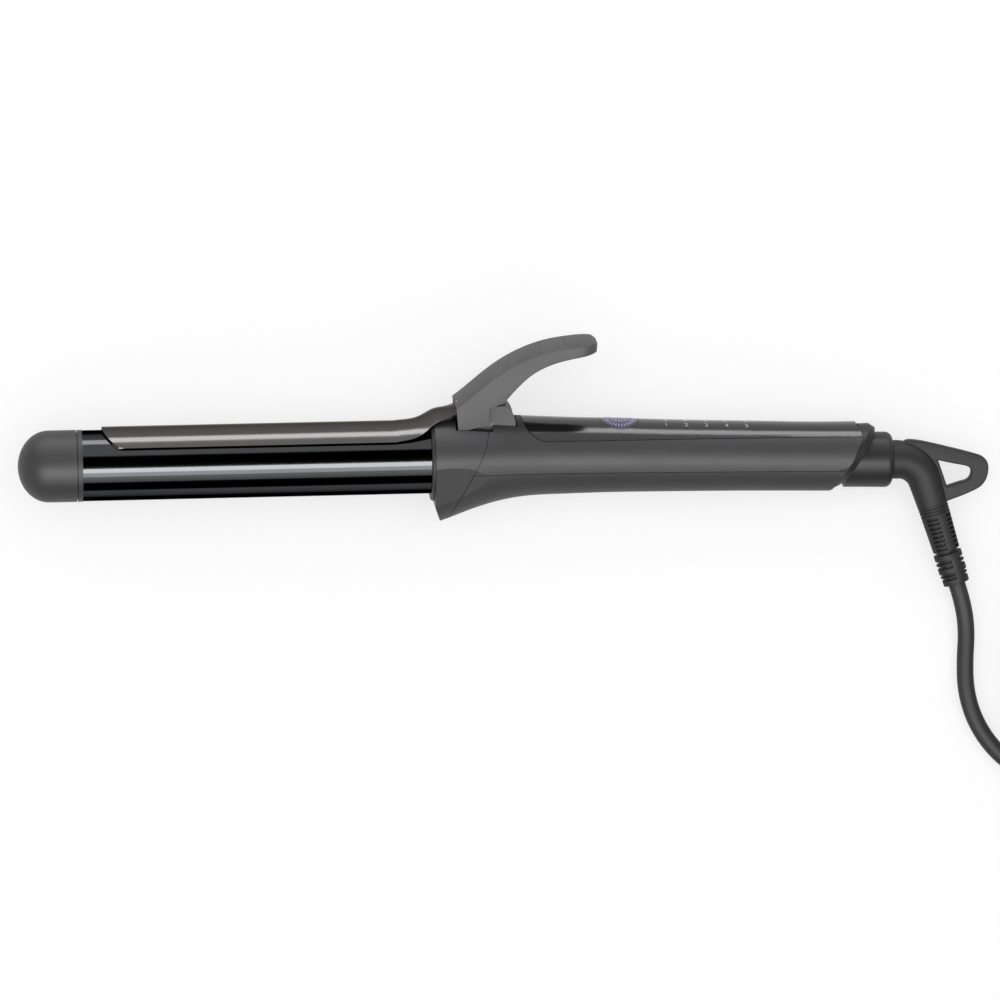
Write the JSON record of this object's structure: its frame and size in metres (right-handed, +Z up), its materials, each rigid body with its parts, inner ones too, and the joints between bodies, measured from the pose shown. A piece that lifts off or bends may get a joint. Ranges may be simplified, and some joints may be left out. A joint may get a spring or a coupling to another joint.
{
  "type": "curling iron",
  "caption": "Spring-clamp curling iron with a round barrel, cool tip, thumb lever, tapered handle and a swivelling cord outlet with a hang loop, lying on its side.",
  "frame": {"origin": "bottom centre of the iron's bounding box, on the surface it rests on", "axes": "+X along the barrel from the cool tip towards the cord, +Z up, +Y towards the lever's side"},
  "size_m": [0.496, 0.1943, 0.0395],
  "materials": {
    "gloss_barrel": "gloss coated",
    "gloss_plate": "gloss coated",
    "matte_body": "fine matte",
    "matte_lever": "fine texture",
    "gloss_panel": "gloss",
    "satin_trim": "satin",
    "button_cap": "concentric rings",
    "clear_guide": "clear",
    "inner_plastic": "moulded",
    "bare_aluminium": "extruded",
    "heater_ceramic": "matte",
    "film": "film",
    "sensor_glass": "clear",
    "bare_steel": "bare",
    "board_laminate": "laminate",
    "board_part_case": "moulded",
    "lead_sleeve": "silicone",
    "contact_brass": "bare",
    "relief_rubber": "matte",
    "cord_jacket": "matte",
    "tie_plastic": "matte",
    "plug_plastic": "matte",
    "blade_metal": "plated"
  },
  "bodies": {
    "handle": {"barrel": "gloss_barrel", "cool_tip_ring": "matte_body", "cool_tip": "matte_body", "tip_plug": "inner_plastic", "heater_core_top": "bare_aluminium", "heater_core_bottom": "bare_aluminium", "ptc_heaters": "heater_ceramic", "insulation_film": "film", "temperature_sensor": "sensor_glass", "thermal_fuse": "bare_steel", "nose_guard": "matte_body", "top_panel": "gloss_panel", "upper_shell": "matte_body", "lower_shell": "matte_body", "housing_screws": "bare_steel", "root_collar": "matte_body", "barrel_bush": "inner_plastic", "end_ring": "satin_trim", "hinge_bracket": "bare_steel", "hinge_pin": "bare_steel", "torsion_spring": "bare_steel", "tact_switch": "inner_plastic", "light_guides": "clear_guide", "status_leds": "clear_guide", "circuit_board": "board_laminate", "board_screws": "bare_steel", "board_parts": "board_part_case", "heater_leads": "lead_sleeve", "supply_leads": "lead_sleeve", "swivel_collar": "satin_trim", "contact_holder": "inner_plastic", "brush_contacts": "contact_brass"},
    "clamp": {"lever": "matte_lever", "hinge_knuckle": "matte_body", "clamp_plate": "gloss_plate", "clamp_rivet": "bare_steel"},
    "button": {"power_button": "button_cap"},
    "swivel": {"swivel_elbow": "matte_body", "strain_relief": "relief_rubber", "slip_rings": "contact_brass", "cord": "cord_jacket", "cord_coil": "cord_jacket", "plug_lead": "cord_jacket", "cord_tie": "tie_plastic", "plug_body": "plug_plastic", "plug_blades": "blade_metal"}
  },
  "joints": [
    {"name": "clamp_hinge", "type": "hinge", "parent": "handle", "child": "clamp", "pos_m": [-0.00353, 0.01861, 0.02164], "axis": [-0.0228, 0.2588, -0.9657], "range_deg": [0, 30], "stiffness_Nm_per_rad": 0.35, "springref_deg": -34.38},
    {"name": "button_travel", "type": "slide", "parent": "handle", "child": "button", "axis": [-0.0061, -0.9659, -0.2587], "range_m": [0, 0.0008], "stiffness_N_per_m": 800},
    {"name": "cord_swivel", "type": "hinge", "parent": "handle", "child": "swivel", "pos_m": [0.1556, -0.00052, 0.01276], "axis": [0.9992, -0.0273, -0.0309], "continuous": true}
  ]
}
